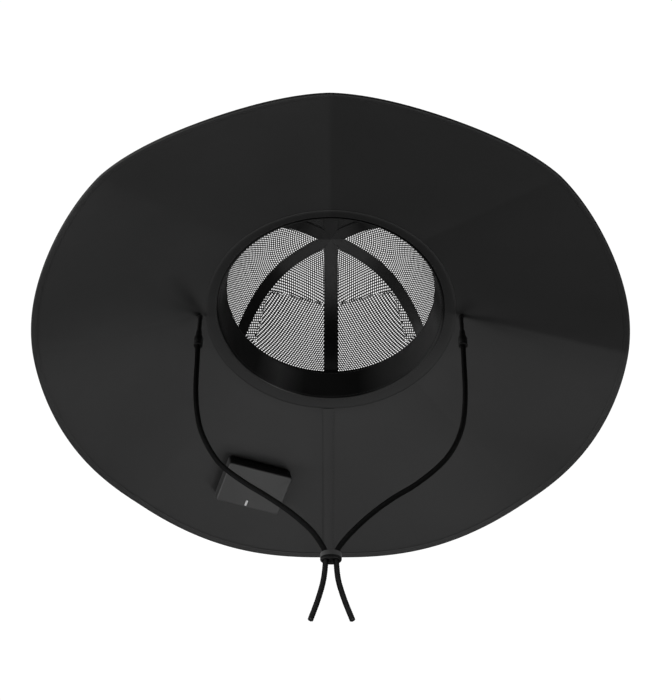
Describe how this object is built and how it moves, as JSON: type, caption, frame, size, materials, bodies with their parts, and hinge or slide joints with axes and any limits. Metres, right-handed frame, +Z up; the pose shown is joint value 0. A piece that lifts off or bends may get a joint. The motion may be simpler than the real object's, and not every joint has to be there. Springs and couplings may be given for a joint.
{
  "type": "solar panel hat",
  "caption": "Wide-brimmed sun hat with a net crown, solar panels on its faceted brim, a power box under the back and a chin cord with a cord lock.",
  "frame": {"origin": "centre of the sweatband's lower edge, where a head carries the hat", "axes": "+Z up, -Y to the hat's front, +Y to the back seam, +X to the side away from the power box"},
  "size_m": [0.4498, 0.483, 0.3868],
  "materials": {
    "brim_cloth": "matt woven polyester",
    "band_satin": "satin",
    "net": "open net",
    "tape": "fine ribbed tape",
    "solar_cell": "dark cells under clear film",
    "box_shell": "fine grained",
    "indicator": "plain white window",
    "cord": "braided",
    "clip": "moulded"
  },
  "bodies": {
    "root": {"brim": "brim_cloth", "crown_band": "brim_cloth", "sweatband": "band_satin", "net_panel_1": "net", "net_panel_2": "net", "net_panel_3": "net", "net_panel_4": "net", "net_panel_5": "net", "net_panel_6": "net", "seam_tape_1": "tape", "seam_tape_2": "tape", "seam_tape_3": "tape", "seam_tape_4": "tape", "seam_tape_5": "tape", "seam_tape_6": "tape", "brim_binding": "tape", "collar_tape": "tape", "back_seam_tape": "tape", "solar_panel_1": "solar_cell", "solar_panel_2": "solar_cell", "solar_panel_3": "solar_cell", "solar_panel_4": "solar_cell", "solar_panel_5": "solar_cell", "solar_panel_6": "solar_cell", "solar_panel_7": "solar_cell", "solar_panel_8": "solar_cell", "power_box": "box_shell", "indicator_window": "indicator", "cord_stub_left": "cord", "cord_stub_right": "cord", "cord_connector_left": "clip", "cord_connector_right": "clip", "chin_cord_left": "cord", "chin_cord_right": "cord", "cord_lock": "clip"}
  },
  "joints": []
}
